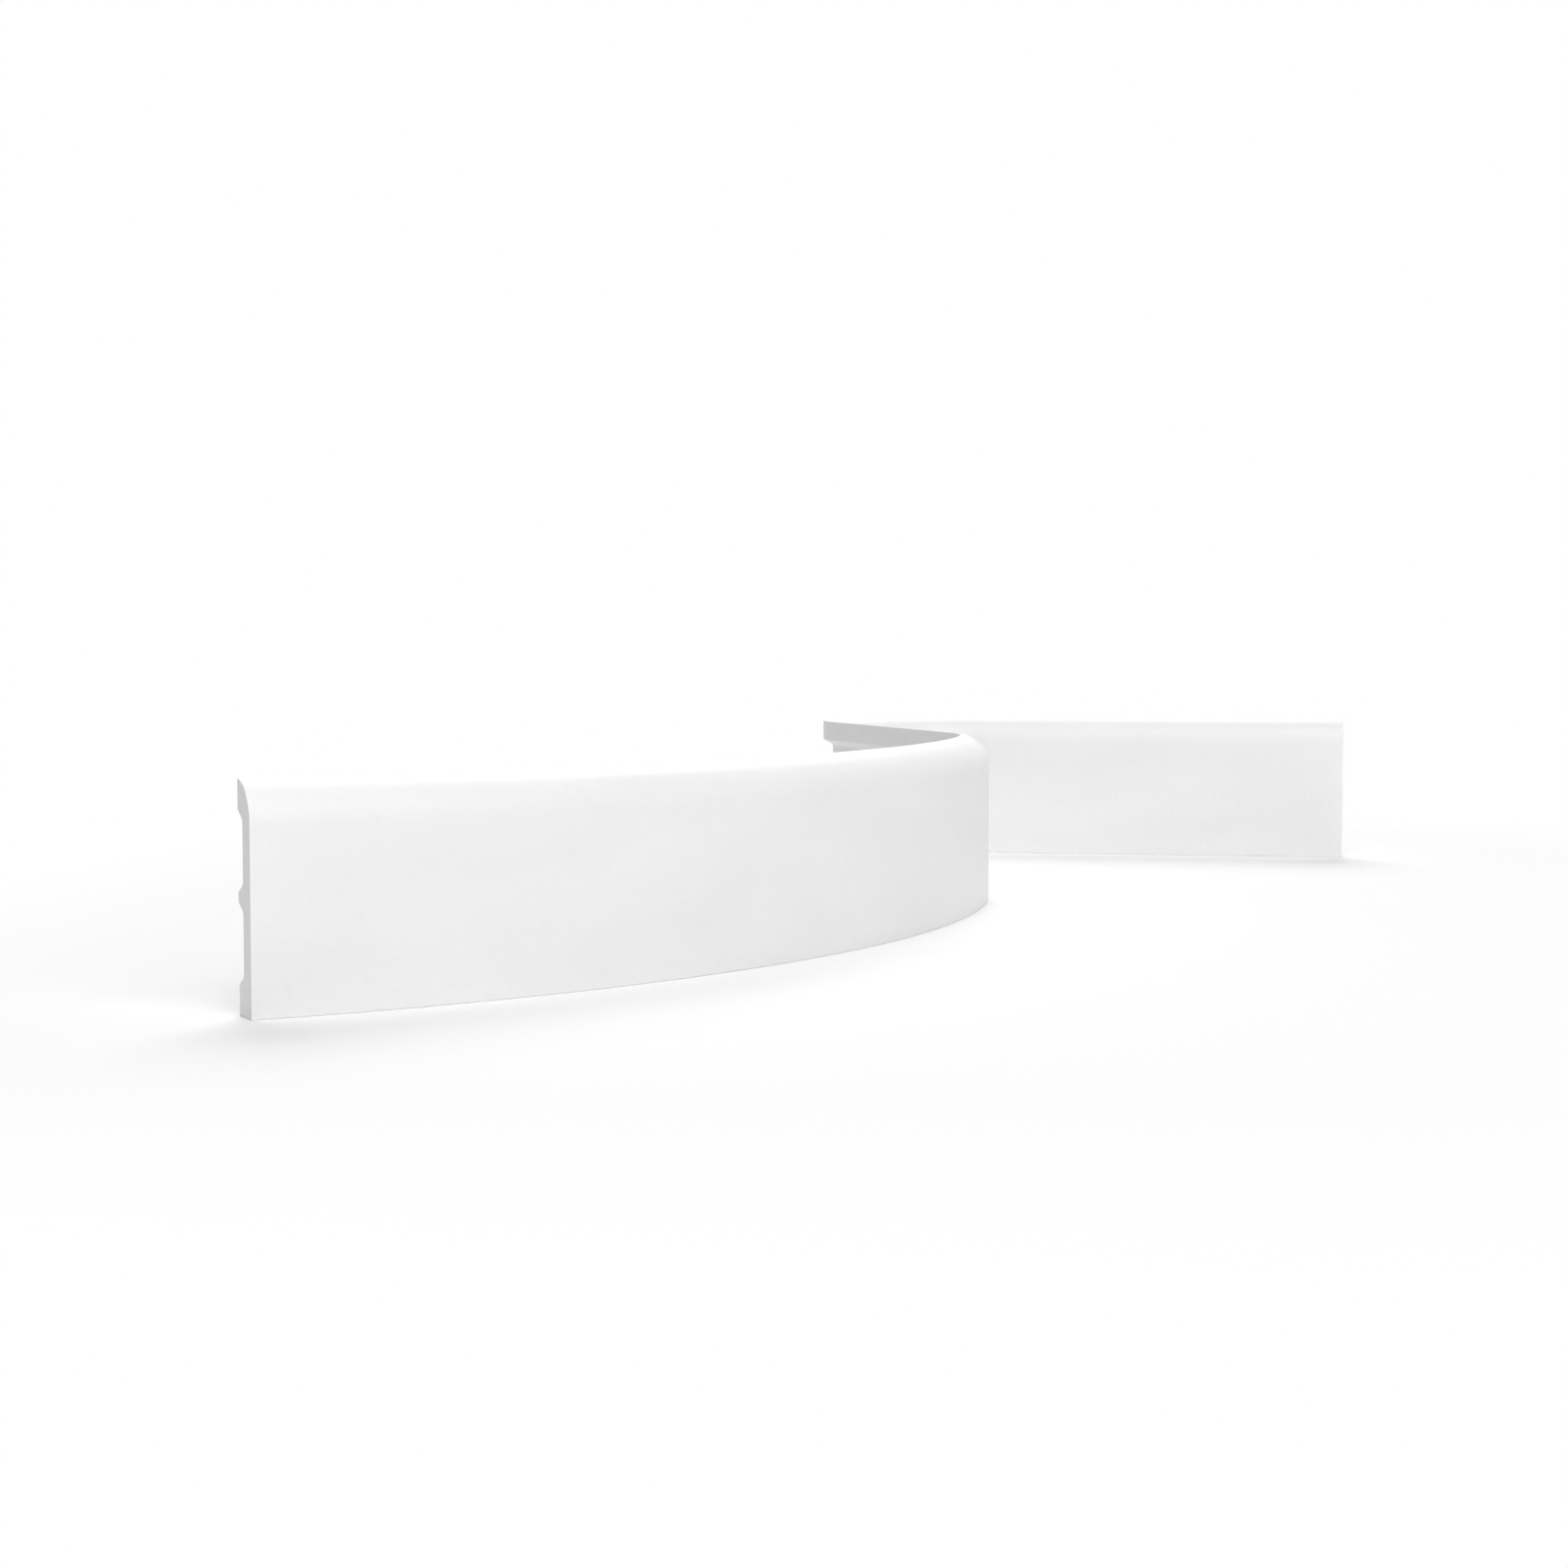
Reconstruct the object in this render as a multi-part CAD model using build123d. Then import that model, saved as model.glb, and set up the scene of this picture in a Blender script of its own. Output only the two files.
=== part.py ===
from build123d import *
import math
import os

# A flexible skirting board, moulded in one piece of soft polymer and bent to follow a wavy wall.
# Sizes in millimetres, angles in degrees. +Z is up, +X runs along the straight tail to its cut end,
# and +Y points to the wall. The origin is at the middle of the footprint, on the floor.

# Section
board_height = 75.0
board_thickness = 13.0
crown_setback = 1.0       # how far behind the wall face the centre of the rounded top lies
land_height = 10.0        # flat glue land along the top and the bottom of the back
rib_width = 3.5           # flat of the rib that runs along the middle of the back
recess_depth = 5.0
recess_side_run = 2.7     # height that each sloping side of a recess takes up
recess_floor_round = 2.0
recess_lip_round = 1.0
arris_round = 0.5         # the two bottom edges and the top edge at the wall

# Plan, measured along the wall face
sweep_radius = 480.0      # the long convex sweep
sweep_angle = 54.0
nose_radius = 100.0       # tighter bend that ends the sweep, the same way round
nose_angle = 27.2
return_length = 152.0     # straight run back from the nose
hollow_radius = 70.0      # bend the other way, into the tail
hollow_angle = 119.0
tail_length = 204.0       # straight run to the far end


def recess(low, high):
    """One hollow of the back, from its lower lip to its upper lip, with rounded floor corners."""
    outline = Polygon(
        (0, low),
        (recess_depth, low + recess_side_run),
        (recess_depth, high - recess_side_run),
        (0, high),
        align=None,
    )
    floor_corners = outline.vertices().group_by(Axis.X)[-1]
    return fillet(floor_corners, recess_floor_round)


def section():
    """The board's section: X from the wall face into the room, Y up from the floor."""
    crown_radius = board_thickness + crown_setback
    crown_rise = math.sqrt(crown_radius**2 - crown_setback**2)
    crown_angle = math.degrees(math.atan2(crown_rise, crown_setback))

    bottom = Line((0, 0), (board_thickness, 0))
    face = Line(bottom @ 1, (board_thickness, board_height - crown_rise))
    crown = JernArc(face @ 1, face % 1, crown_radius, crown_angle)
    back = Line(crown @ 1, bottom @ 0)
    profile = make_face([bottom, face, crown, back])

    middle = board_height / 2
    profile -= recess(land_height, middle - rib_width / 2)
    profile -= recess(middle + rib_width / 2, board_height - land_height)
    back_corners = profile.vertices().group_by(Axis.X)[0]
    lips = back_corners.filter_by_position(Axis.Y, land_height / 2, board_height - land_height / 2)
    profile = fillet(lips, recess_lip_round)

    levels = profile.vertices().group_by(Axis.Y)
    return fillet(levels[0] + levels[-1], arris_round)


def wall_line():
    """The path along the foot of the wall, from the tail's cut end to the end of the long sweep."""
    tail = Line((tail_length, 0), (0, 0))
    hollow = JernArc(tail @ 1, tail % 1, hollow_radius, hollow_angle)
    return_run = Line(hollow @ 1, hollow @ 1 + (hollow % 1) * return_length)
    nose = JernArc(return_run @ 1, return_run % 1, nose_radius, -nose_angle)
    long_sweep = JernArc(nose @ 1, nose % 1, sweep_radius, -sweep_angle)
    return Wire([tail, hollow, return_run, nose, long_sweep])


path = wall_line()
room_side = (0, -1, 0)
start_plane = Plane(origin=path @ 0, x_dir=room_side, z_dir=path % 0)
board = sweep(start_plane * section(), path)

footprint = board.bounding_box()
board = Pos(-footprint.center().X, -footprint.center().Y, -footprint.min.Z) * board

os.makedirs("parts", exist_ok=True)
export_step(board, "parts/skirting_board.step")
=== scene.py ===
import math

import bpy
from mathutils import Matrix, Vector


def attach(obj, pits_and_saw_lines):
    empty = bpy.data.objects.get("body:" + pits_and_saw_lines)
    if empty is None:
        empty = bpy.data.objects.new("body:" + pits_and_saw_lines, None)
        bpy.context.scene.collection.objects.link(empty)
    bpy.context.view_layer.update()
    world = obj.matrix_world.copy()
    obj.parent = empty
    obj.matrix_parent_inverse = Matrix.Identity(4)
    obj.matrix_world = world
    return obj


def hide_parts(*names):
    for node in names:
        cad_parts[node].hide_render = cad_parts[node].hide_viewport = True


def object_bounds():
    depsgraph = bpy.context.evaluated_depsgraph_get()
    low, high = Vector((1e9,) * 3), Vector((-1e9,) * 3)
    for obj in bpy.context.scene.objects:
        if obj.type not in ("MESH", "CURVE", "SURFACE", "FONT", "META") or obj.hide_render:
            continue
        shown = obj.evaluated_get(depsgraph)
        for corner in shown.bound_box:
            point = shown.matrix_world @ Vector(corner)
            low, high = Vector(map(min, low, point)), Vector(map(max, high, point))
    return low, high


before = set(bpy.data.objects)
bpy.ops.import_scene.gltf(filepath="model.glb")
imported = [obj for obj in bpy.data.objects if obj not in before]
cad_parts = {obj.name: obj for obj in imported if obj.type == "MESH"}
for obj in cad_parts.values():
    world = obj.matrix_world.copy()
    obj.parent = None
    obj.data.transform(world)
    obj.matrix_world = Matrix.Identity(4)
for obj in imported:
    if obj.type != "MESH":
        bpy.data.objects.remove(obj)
cad_low, cad_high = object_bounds()

# Sizes in metres, angles in degrees. The board stands on the floor, with its straight tail along +X
# and the wall side of the tail facing +Y.
MM = 0.001

# Section
BOARD_HEIGHT = 75 * MM
BOARD_THICKNESS = 13 * MM
CROWN_SETBACK = 1 * MM
LAND_HEIGHT = 10 * MM
RIB_WIDTH = 3.5 * MM
RECESS_DEPTH = 5 * MM
RECESS_SIDE_RUN = 2.7 * MM
RECESS_FLOOR_ROUND = 2 * MM
RECESS_LIP_ROUND = 1 * MM
ARRIS_ROUND = 0.5 * MM
CUT_EDGE_ROUND = 0.3 * MM

# Plan, along the wall face from the tail's cut end to the end of the long sweep
TAIL_LENGTH = 204 * MM
HOLLOW_RADIUS = 70 * MM
HOLLOW_ANGLE = 119.0
RETURN_LENGTH = 152 * MM
NOSE_RADIUS = 100 * MM
NOSE_ANGLE = 27.2
SWEEP_RADIUS = 480 * MM
SWEEP_ANGLE = 54.0

# Mesh fineness
STRAIGHT_STEP = 6 * MM
BEND_STEP = 2.5 * MM
SWEEP_STEP = 4 * MM
CROWN_STEPS = 24
ROUND_STEPS = 6
CUT_EDGE_STEPS = 3

# Materials. The skin's map runs along the board and round its section, in metres, and a grain is
# given as its lengths in those two directions. A share is the weight of the grain that it names.
SKIN_MAP = "skin_map"
PRIMED, MOULDED, CUT = range(3)
NOISE_DETAIL = 2.0

# Sprayed primer on the bottom, the face and the crown
PRIMER_WHITE = 0.87
PRIMER_VARIATION = 0.04
PRIMER_SMOOTHEST = 0.34
PRIMER_ROUGHEST = 0.60
PRIMER_RELIEF = 0.12 * MM
CLOUD_GRAIN = (60 * MM, 25 * MM)
PEEL_GRAIN = (2.2 * MM, 1.8 * MM)
SPRAY_GRAIN = (0.6 * MM, 0.6 * MM)
PEEL_SHARE_OF_COLOUR = 0.35
PEEL_SHARE_OF_SHEEN = 0.5
SPRAY_SHARE_OF_RELIEF = 0.2

# Moulded back
BACK_WHITE = 0.84
BACK_VARIATION = 0.035
BACK_SMOOTHEST = 0.52
BACK_ROUGHEST = 0.72
BACK_RELIEF = 0.06 * MM
MOTTLE_GRAIN = (9 * MM, 6 * MM)
MOTTLE_DETAIL = 3.0
MOULD_LINE_GRAIN = (90 * MM, 0.6 * MM)
SKIN_GRAIN = (0.4 * MM, 0.4 * MM)
MOULD_LINE_SHARE_OF_COLOUR = 0.4
SKIN_SHARE_OF_SHEEN = 0.5
SKIN_SHARE_OF_RELIEF = 0.4

# Sawn ends
CUT_WHITE = 0.86
# How far the colour drops, both as painted shade at the pores' middles and along the saw lines, which
# are the end's own tone
CUT_DARKER = 0.06
CUT_LIGHTER = 0.03
CUT_SMOOTHEST = 0.6
CUT_ROUGHEST = 0.8
CUT_RELIEF = 0.08 * MM
PORE_GRAIN = (0.55 * MM, 0.55 * MM)
PORE_BOTTOM = 0.05        # in grains, out from a pore's middle
PORE_RIM = 0.3
SAW_LINE_GRAIN = (12 * MM, 0.35 * MM)
SAW_LINE_SHARE = 0.4

# Camera, from the photograph's perspective
CAMERA_LENS_MM = 60.0
CAMERA_SENSOR_MM = 36.0
CAMERA_PLACE = Vector((127.66, -1110.03, 119.30)) * MM
CAMERA_TURN = 9.912
CAMERA_DIP = 3.227

# Studio. An azimuth goes round the object from the camera towards the right of the picture.
# Lamp powers are in watts.
WHITE = (1, 1, 1, 1)
SKY_LIGHT = 0.17
LAMP_DISTANCE = 6.0
LAMP_SIZE = 3.9
KEY_AZIMUTH = 30.0
KEY_ELEVATION = 30.0
KEY_POWER = 114.0
HIGH_AZIMUTH = 0.0
HIGH_ELEVATION = 60.0
HIGH_POWER = 170.0
BACK_AZIMUTH = 180.0
BACK_ELEVATION = 45.0
BACK_POWER = 195.0
FLOOR_WHITE = 0.95
FLOOR_HALF = 20.0
FLOOR_FADE_START = 0.08   # out from the box round the object's footprint
FLOOR_FADE_END = 0.30


def turned(vector, angle):
    """A 2-D vector turned anticlockwise by an angle in radians."""
    cosine = math.cos(angle)
    sine = math.sin(angle)
    return Vector((cosine * vector.x - sine * vector.y, sine * vector.x + cosine * vector.y))


def rounded(corners):
    """The outline of a closed polygon. Each corner is (x, y, radius), and radius 0 stays sharp."""
    points = []
    for i, (x, y, radius) in enumerate(corners):
        corner = Vector((x, y))
        if radius == 0:
            points.append(corner)
            continue
        to_last = (Vector(corners[i - 1][:2]) - corner).normalized()
        to_next = (Vector(corners[(i + 1) % len(corners)][:2]) - corner).normalized()
        half = to_last.angle(to_next) / 2
        centre = corner + (to_last + to_next).normalized() * (radius / math.sin(half))
        first = corner + to_last * (radius / math.tan(half)) - centre
        last = corner + to_next * (radius / math.tan(half)) - centre
        turn = first.angle_signed(last)
        for k in range(ROUND_STEPS + 1):
            points.append(centre + turned(first, -turn * k / ROUND_STEPS))
    return points


def recess_corners(high, low):
    """Corners of one hollow of the back, from its upper lip down to its lower lip."""
    return [
        (0, high, RECESS_LIP_ROUND),
        (RECESS_DEPTH, high - RECESS_SIDE_RUN, RECESS_FLOOR_ROUND),
        (RECESS_DEPTH, low + RECESS_SIDE_RUN, RECESS_FLOOR_ROUND),
        (0, low, RECESS_LIP_ROUND),
    ]


def crown_corners():
    """Points of the rounded top, from the face up to just before the wall."""
    radius = BOARD_THICKNESS + CROWN_SETBACK
    rise = math.sqrt(radius**2 - CROWN_SETBACK**2)
    full_turn = math.atan2(rise, CROWN_SETBACK)
    centre = Vector((-CROWN_SETBACK, BOARD_HEIGHT - rise))
    corners = []
    for k in range(CROWN_STEPS):
        point = centre + turned(Vector((radius, 0)), full_turn * k / CROWN_STEPS)
        corners.append((point.x, point.y, 0))
    return corners


def section_outline():
    """The section, anticlockwise from the foot of the back: x into the room, y up."""
    middle = BOARD_HEIGHT / 2
    corners = [(0, 0, ARRIS_ROUND), (BOARD_THICKNESS, 0, ARRIS_ROUND)]
    corners += crown_corners()
    corners += [(0, BOARD_HEIGHT, ARRIS_ROUND)]
    corners += recess_corners(BOARD_HEIGHT - LAND_HEIGHT, middle + RIB_WIDTH / 2)
    corners += recess_corners(middle - RIB_WIDTH / 2, LAND_HEIGHT)
    return rounded(corners)


def inset(outline, amount):
    """The outline drawn in by a small amount, along the normal at each point."""
    moved = []
    for i, point in enumerate(outline):
        along = outline[(i + 1) % len(outline)] - outline[i - 1]
        inward = Vector((-along.y, along.x)).normalized()
        moved.append(point + inward * amount)
    return moved


def heading_vector(heading):
    return Vector((math.cos(heading), math.sin(heading)))


def left_of(heading):
    return Vector((-math.sin(heading), math.cos(heading)))


def straight_stations(start, heading, length):
    """Points and headings along a straight run, without its first point."""
    count = math.ceil(length / STRAIGHT_STEP)
    way = heading_vector(heading)
    return [(start + way * (length * k / count), heading) for k in range(1, count + 1)]


def arc_stations(start, heading, radius, angle, step):
    """Points and headings along an arc, without its first point. A positive angle turns left."""
    turn = math.radians(angle)
    count = math.ceil(radius * abs(turn) / step)
    reach = math.copysign(radius, turn)
    centre = start + reach * left_of(heading)
    stations = []
    for k in range(1, count + 1):
        new_heading = heading + turn * k / count
        stations.append((centre - reach * left_of(new_heading), new_heading))
    return stations


def wall_line_stations():
    """Points and headings along the foot of the wall, from the tail's cut end to the sweep's."""
    stations = [(Vector((cad_high.x, cad_high.y)), math.pi)]
    stations += straight_stations(*stations[-1], TAIL_LENGTH)
    stations += arc_stations(*stations[-1], HOLLOW_RADIUS, HOLLOW_ANGLE, BEND_STEP)
    stations += straight_stations(*stations[-1], RETURN_LENGTH)
    stations += arc_stations(*stations[-1], NOSE_RADIUS, -NOSE_ANGLE, BEND_STEP)
    stations += arc_stations(*stations[-1], SWEEP_RADIUS, -SWEEP_ANGLE, SWEEP_STEP)
    return stations


def ring(outline, foot, heading):
    """The section stood up at one point of the wall line, square to it."""
    room = left_of(heading)
    return [
        Vector((foot.x + room.x * point.x, foot.y + room.y * point.x, point.y))
        for point in outline
    ]


def cut_edge_rings(outline, foot, heading, outward):
    """Rings that round the edge of a cut end, from the face of the cut inwards."""
    rings = []
    for k in range(CUT_EDGE_STEPS):
        angle = math.pi / 2 * k / CUT_EDGE_STEPS
        drawn_in = CUT_EDGE_ROUND * (1 - math.sin(angle))
        set_back = CUT_EDGE_ROUND * (1 - math.cos(angle))
        place = foot - heading_vector(heading) * (outward * set_back)
        rings.append(ring(inset(outline, drawn_in), place, heading))
    return rings


def board_rings(outline):
    """The section's rings from the tail's cut end to the end of the sweep."""
    stations = wall_line_stations()
    first_foot, first_heading = stations[0]
    last_foot, last_heading = stations[-1]
    stations[0] = (first_foot + heading_vector(first_heading) * CUT_EDGE_ROUND, first_heading)
    stations[-1] = (last_foot - heading_vector(last_heading) * CUT_EDGE_ROUND, last_heading)
    rings = cut_edge_rings(outline, first_foot, first_heading, -1)
    rings += [ring(outline, foot, heading) for foot, heading in stations]
    rings += reversed(cut_edge_rings(outline, last_foot, last_heading, 1))
    return rings


def running_lengths(points):
    """Distance along a line of points, at each of them."""
    lengths = [0.0]
    for last, point in zip(points, points[1:]):
        lengths.append(lengths[-1] + (point - last).length)
    return lengths


def board_mesh():
    """The board as one closed mesh of quads, with a flat face on each cut end."""
    outline = section_outline()
    rings = board_rings(outline)
    size = len(outline)
    top = max(range(size), key=lambda i: outline[i].y)
    girth = running_lengths(outline + outline[:1])
    reach = running_lengths([points[0] for points in rings])

    # From the foot of the back, the outline passes the bottom, the face and the crown before the top.
    faces = []
    zones = []
    places = []
    for r in range(len(rings) - 1):
        this_ring = r * size
        next_ring = this_ring + size
        for i in range(size):
            j = (i + 1) % size
            faces.append((this_ring + i, this_ring + j, next_ring + j, next_ring + i))
            zones.append(PRIMED if i < top else MOULDED)
            places += [
                (reach[r], girth[i]),
                (reach[r], girth[i + 1]),
                (reach[r + 1], girth[i + 1]),
                (reach[r + 1], girth[i]),
            ]
    last_ring = (len(rings) - 1) * size
    faces.append(tuple(reversed(range(size))))
    faces.append(tuple(range(last_ring, last_ring + size)))
    zones += [CUT, CUT]
    places += [(point.x, point.y) for point in reversed(outline)]
    places += [(point.x, point.y) for point in outline]

    mesh = bpy.data.meshes.new("skirting_board_skin")
    mesh.from_pydata([point for points in rings for point in points], [], faces)
    skin_map = mesh.uv_layers.new(name=SKIN_MAP)
    skin_map.data.foreach_set("uv", [value for place in places for value in place])
    mesh.polygons.foreach_set("material_index", zones)
    mesh.polygons.foreach_set("use_smooth", [zone != CUT for zone in zones])
    mesh.update()
    return mesh


def make_board():
    board = bpy.data.objects.new("skirting_board_skin", board_mesh())
    bpy.context.scene.collection.objects.link(board)
    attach(board, "root")
    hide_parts("skirting_board")
    return board


class Shading:
    """A material's node tree, with short ways to add nodes and link them."""

    def __init__(self, name):
        self.material = bpy.data.materials.new(name)
        self.material.use_nodes = True
        self.tree = self.material.node_tree
        self.surface = self.tree.nodes["Principled BSDF"]

    def put(self, node, key, value):
        """Links an output socket to a node's input, or sets the input to any other value."""
        if isinstance(value, bpy.types.NodeSocket):
            self.tree.links.new(value, node.inputs[key])
        else:
            node.inputs[key].default_value = value

    def add(self, kind, settings=None, **inputs):
        """A node of a kind, with its settings and its inputs. An underscore stands for a space."""
        node = self.tree.nodes.new(kind)
        for key, value in (settings or {}).items():
            setattr(node, key, value)
        for key, value in inputs.items():
            self.put(node, key.replace("_", " "), value)
        return node

    def skin(self, grain):
        """The board's own map, scaled so that one unit is one grain."""
        along, across = grain
        skin_map = self.add("ShaderNodeUVMap", {"uv_map": SKIN_MAP})
        scale = (1 / along, 1 / across, 1)
        mapping = self.add("ShaderNodeMapping", Vector=skin_map.outputs["UV"], Scale=scale)
        return mapping.outputs["Vector"]

    def noise(self, grain, detail=NOISE_DETAIL):
        """Soft random patches of a grain's size, from 0 to 1."""
        texture = self.add(
            "ShaderNodeTexNoise",
            {"noise_dimensions": "2D"},
            Vector=self.skin(grain),
            Scale=1.0,
            Detail=detail,
        )
        return texture.outputs["Fac"]

    def between(self, value, low, high):
        """A 0 to 1 value spread between two numbers."""
        return self.add("ShaderNodeMapRange", Value=value, To_Min=low, To_Max=high).outputs["Result"]

    def grey(self, value, low, high):
        """A neutral colour between two brightnesses, by a 0 to 1 value."""
        level = self.between(value, low, high)
        return self.add("ShaderNodeCombineColor", Red=level, Green=level, Blue=level).outputs["Color"]

    def blend(self, first, second, share):
        """A weighted mean of two values, with this share of the second."""
        node = self.add("ShaderNodeMix", {"data_type": "FLOAT"}, Factor=share)
        # The node has inputs of the same names for vectors and colours, so these go by their place.
        first_number, second_number = node.inputs[2:4]
        self.tree.links.new(first, first_number)
        self.tree.links.new(second, second_number)
        return node.outputs[0]

    def vector_math(self, operation, vector):
        """An operation on a vector. The second vector, where there is one, is zero until it is set."""
        return self.add("ShaderNodeVectorMath", {"operation": operation}, Vector=vector)

    def bump(self, height, depth):
        """Relief with this much depth, in metres, between the lowest and the highest value."""
        node = self.add("ShaderNodeBump", Height=height, Distance=depth)
        self.put(self.surface, "Normal", node.outputs["Normal"])


def primer_material():
    """Sprayed white primer: a fine orange peel, with faint clouds of colour and of sheen."""
    paint = Shading("white_primer")
    clouds = paint.noise(CLOUD_GRAIN)
    peel = paint.noise(PEEL_GRAIN)
    spray = paint.noise(SPRAY_GRAIN)
    colour = paint.blend(clouds, peel, PEEL_SHARE_OF_COLOUR)
    sheen = paint.blend(clouds, peel, PEEL_SHARE_OF_SHEEN)
    white = paint.grey(colour, PRIMER_WHITE - PRIMER_VARIATION, PRIMER_WHITE + PRIMER_VARIATION)
    paint.put(paint.surface, "Base Color", white)
    paint.put(paint.surface, "Roughness", paint.between(sheen, PRIMER_SMOOTHEST, PRIMER_ROUGHEST))
    paint.bump(paint.blend(peel, spray, SPRAY_SHARE_OF_RELIEF), PRIMER_RELIEF)
    return paint.material


def moulded_material():
    """The back as it leaves the mould: fine lines along the board and a matt, slightly mottled skin."""
    back = Shading("moulded_back")
    mottle = back.noise(MOTTLE_GRAIN, MOTTLE_DETAIL)
    mould_lines = back.noise(MOULD_LINE_GRAIN)
    skin = back.noise(SKIN_GRAIN)
    colour = back.blend(mottle, mould_lines, MOULD_LINE_SHARE_OF_COLOUR)
    sheen = back.blend(mottle, skin, SKIN_SHARE_OF_SHEEN)
    white = back.grey(colour, BACK_WHITE - BACK_VARIATION, BACK_WHITE + BACK_VARIATION)
    back.put(back.surface, "Base Color", white)
    back.put(back.surface, "Roughness", back.between(sheen, BACK_SMOOTHEST, BACK_ROUGHEST))
    back.bump(back.blend(mould_lines, skin, SKIN_SHARE_OF_RELIEF), BACK_RELIEF)
    return back.material


def cut_material():
    """The sawn ends: a dense, fine-pored body with faint saw lines across it. Each pore's colour is
    painted darker towards its middle, as painted shade in the pit. The saw lines are the end's own
    tone.
    """
    cut = Shading("sawn_end")
    cells = cut.add(
        "ShaderNodeTexVoronoi",
        {"voronoi_dimensions": "2D", "feature": "F1"},
        Vector=cut.skin(PORE_GRAIN),
        Scale=1.0,
    )
    pores = cut.add(
        "ShaderNodeMapRange",
        Value=cells.outputs["Distance"],
        From_Min=PORE_BOTTOM,
        From_Max=PORE_RIM,
    )
    saw_lines = cut.noise(SAW_LINE_GRAIN)
    pits_and_saw_lines = cut.blend(pores.outputs["Result"], saw_lines, SAW_LINE_SHARE)
    # The colour is painted darker in the middle of each pore, as painted shade in the pits. It also
    # follows the saw lines, which are the end's own tone.
    white = cut.grey(pits_and_saw_lines, CUT_WHITE - CUT_DARKER, CUT_WHITE + CUT_LIGHTER)
    cut.put(cut.surface, "Base Color", white)
    cut.put(cut.surface, "Roughness", cut.between(saw_lines, CUT_SMOOTHEST, CUT_ROUGHEST))
    cut.bump(pits_and_saw_lines, CUT_RELIEF)
    return cut.material


def make_camera():
    data = bpy.data.cameras.new("camera")
    data.lens = CAMERA_LENS_MM
    data.sensor_width = CAMERA_SENSOR_MM
    camera = bpy.data.objects.new("camera", data)
    camera.location = CAMERA_PLACE
    camera.rotation_euler = (math.radians(90 - CAMERA_DIP), 0, math.radians(CAMERA_TURN))
    bpy.context.scene.collection.objects.link(camera)
    bpy.context.scene.camera = camera


def make_lamp(name, azimuth, elevation, power):
    """A square soft box that faces the foot of the object's middle."""
    bearing = math.radians(CAMERA_TURN + azimuth)
    lift = math.radians(elevation)
    level = math.cos(lift)
    way = Vector((math.sin(bearing) * level, -math.cos(bearing) * level, math.sin(lift)))
    data = bpy.data.lights.new(name, "AREA")
    data.size = LAMP_SIZE
    data.energy = power
    lamp = bpy.data.objects.new(name, data)
    lamp.location = way * LAMP_DISTANCE
    lamp.rotation_euler = (-way).to_track_quat("-Z", "Y").to_euler()
    bpy.context.scene.collection.objects.link(lamp)


def seen_directly(tree):
    """1 for a ray that sees the surroundings straight, mirrored or through glass, and else 0."""
    rays = tree.nodes.new("ShaderNodeLightPath")
    mirrored = tree.nodes.new("ShaderNodeMath")
    tree.links.new(rays.outputs["Is Camera Ray"], mirrored.inputs[0])
    tree.links.new(rays.outputs["Is Glossy Ray"], mirrored.inputs[1])
    seen = tree.nodes.new("ShaderNodeMath")
    seen.use_clamp = True
    tree.links.new(mirrored.outputs[0], seen.inputs[0])
    tree.links.new(rays.outputs["Is Transmission Ray"], seen.inputs[1])
    return seen.outputs[0]


def mixed_shader(tree, share, first, second):
    """A mix of two shader nodes, with this share of the second."""
    mixed = tree.nodes.new("ShaderNodeMixShader")
    tree.links.new(share, mixed.inputs[0])
    tree.links.new(first.outputs[0], mixed.inputs[1])
    tree.links.new(second.outputs[0], mixed.inputs[2])
    return mixed.outputs[0]


def floor_fade(shading):
    """0 near the object's footprint, rising to 1 further out."""
    position = shading.add("ShaderNodeNewGeometry").outputs["Position"]
    spread = shading.vector_math("ABSOLUTE", position)
    beyond = shading.vector_math("SUBTRACT", spread.outputs["Vector"])
    beyond.inputs[1].default_value = (cad_high.x, cad_high.y, 0)
    outside = shading.vector_math("MAXIMUM", beyond.outputs["Vector"])
    distance = shading.vector_math("LENGTH", outside.outputs["Vector"])
    fade = shading.add(
        "ShaderNodeMapRange",
        {"interpolation_type": "SMOOTHSTEP"},
        Value=distance.outputs["Value"],
        From_Min=FLOOR_FADE_START,
        From_Max=FLOOR_FADE_END,
    )
    return fade.outputs["Result"]


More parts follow.
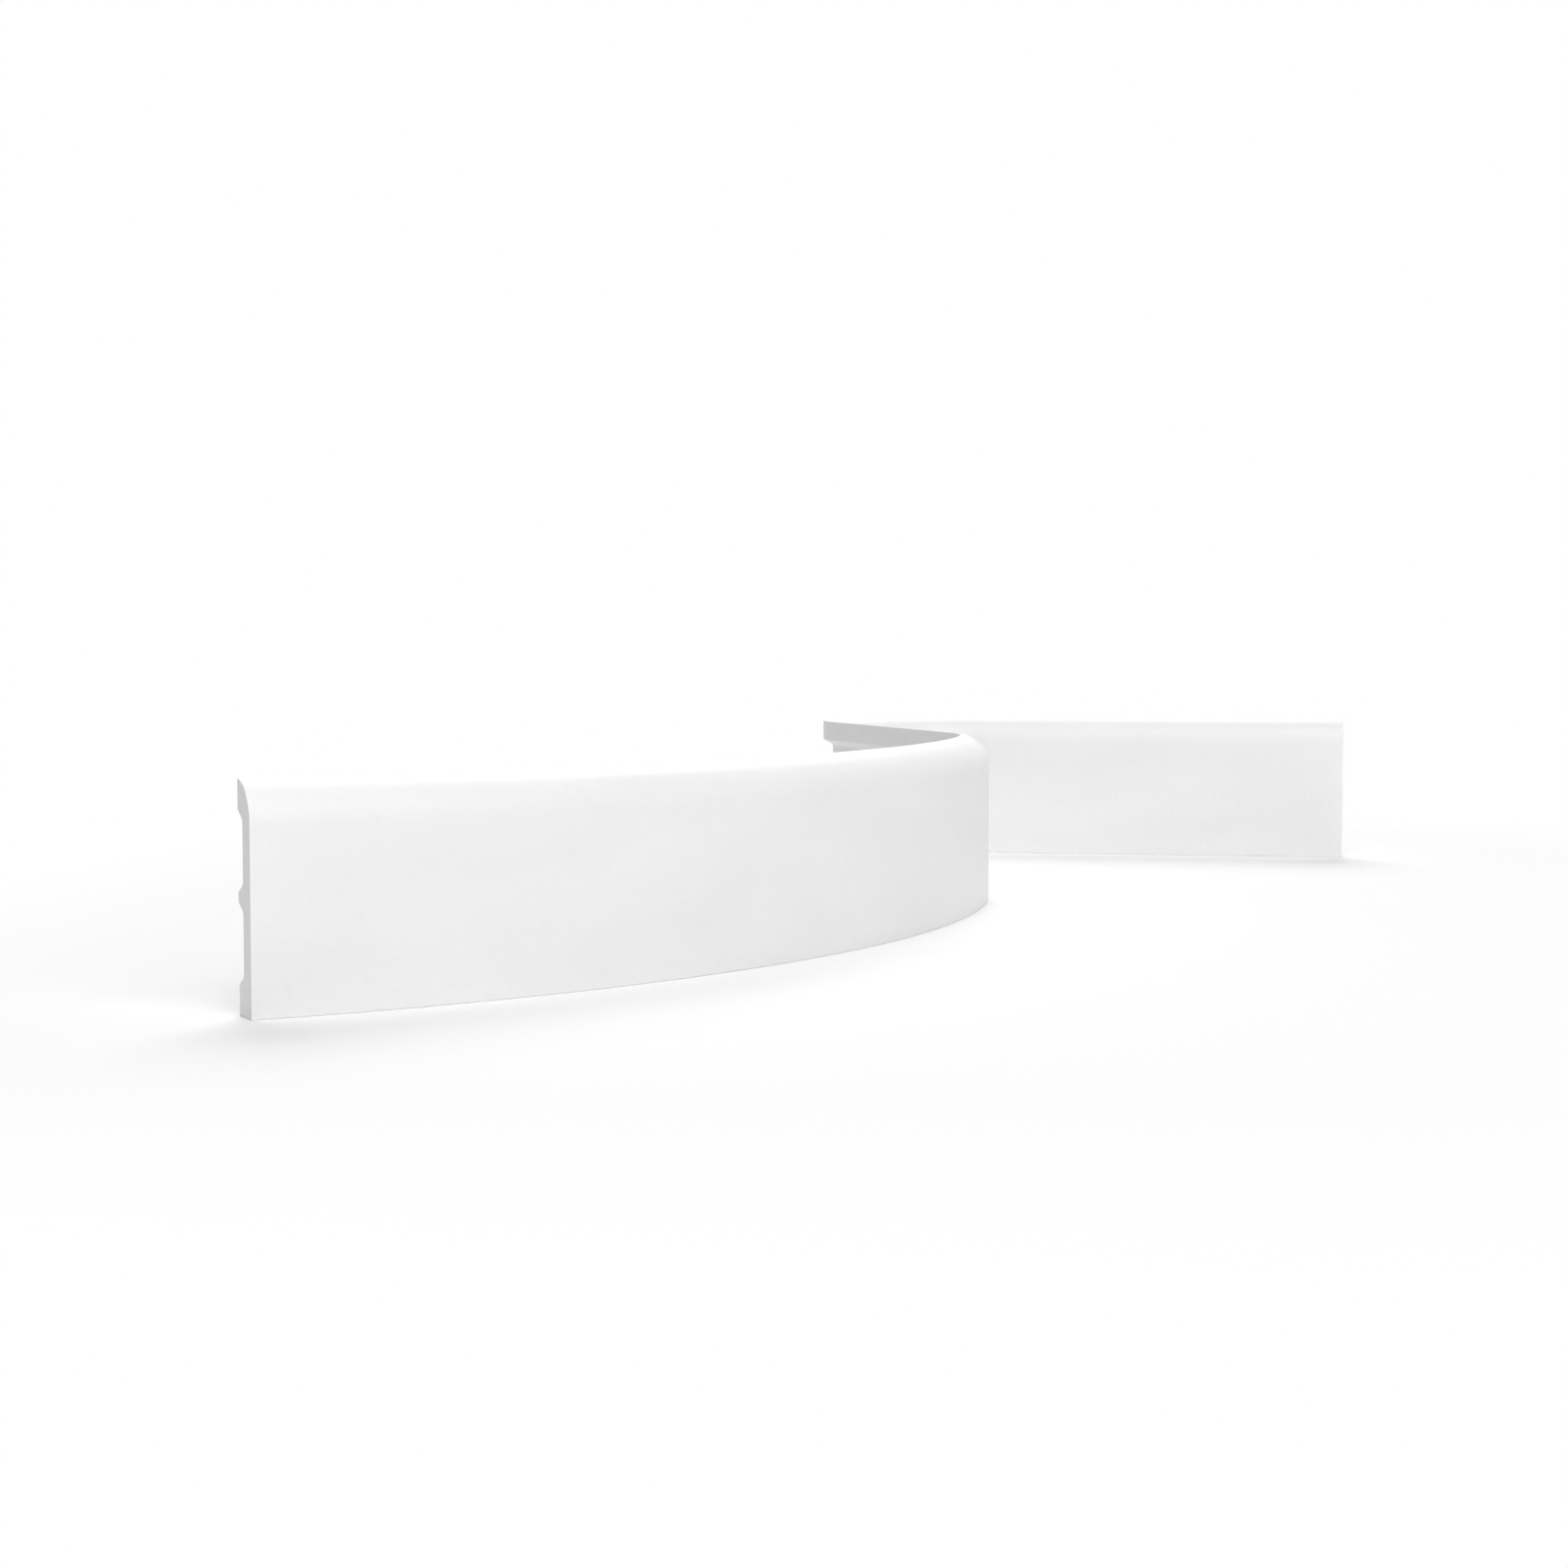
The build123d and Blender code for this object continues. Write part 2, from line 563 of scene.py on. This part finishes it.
def floor_material():
    """Matt white that takes the object's shadow and fades into the white background further out."""
    shading = Shading("floor")
    tree = shading.tree
    shading.put(shading.surface, "Base Color", (FLOOR_WHITE, FLOOR_WHITE, FLOOR_WHITE, 1))
    shading.put(shading.surface, "Roughness", 1.0)
    shading.put(shading.surface, "Specular IOR Level", 0.0)
    share = shading.add("ShaderNodeMath", {"operation": "MULTIPLY"})
    tree.links.new(seen_directly(tree), share.inputs[0])
    tree.links.new(floor_fade(shading), share.inputs[1])
    background = shading.add("ShaderNodeEmission", Color=WHITE)
    surface = mixed_shader(tree, share.outputs[0], shading.surface, background)
    tree.links.new(surface, tree.nodes["Material Output"].inputs["Surface"])
    return shading.material


def make_floor():
    corners = [(-FLOOR_HALF, -FLOOR_HALF, 0), (FLOOR_HALF, -FLOOR_HALF, 0)]
    corners += [(FLOOR_HALF, FLOOR_HALF, 0), (-FLOOR_HALF, FLOOR_HALF, 0)]
    mesh = bpy.data.meshes.new("floor")
    mesh.from_pydata(corners, [], [(0, 1, 2, 3)])
    mesh.materials.append(floor_material())
    floor = bpy.data.objects.new("floor", mesh)
    bpy.context.scene.collection.objects.link(floor)


def make_world():
    """White where it is seen, and a softer even light on the object."""
    world = bpy.data.worlds.new("studio")
    world.use_nodes = True
    tree = world.node_tree
    light = tree.nodes["Background"]
    light.inputs["Color"].default_value = WHITE
    light.inputs["Strength"].default_value = SKY_LIGHT
    background = tree.nodes.new("ShaderNodeBackground")
    background.inputs["Color"].default_value = WHITE
    surface = mixed_shader(tree, seen_directly(tree), light, background)
    tree.links.new(surface, tree.nodes["World Output"].inputs["Surface"])
    bpy.context.scene.world = world


bpy.context.scene.view_settings.view_transform = "Standard"
board = make_board()
for material in (primer_material(), moulded_material(), cut_material()):
    board.data.materials.append(material)
make_camera()
make_lamp("key", KEY_AZIMUTH, KEY_ELEVATION, KEY_POWER)
make_lamp("high", HIGH_AZIMUTH, HIGH_ELEVATION, HIGH_POWER)
make_lamp("back", BACK_AZIMUTH, BACK_ELEVATION, BACK_POWER)
make_floor()
make_world()
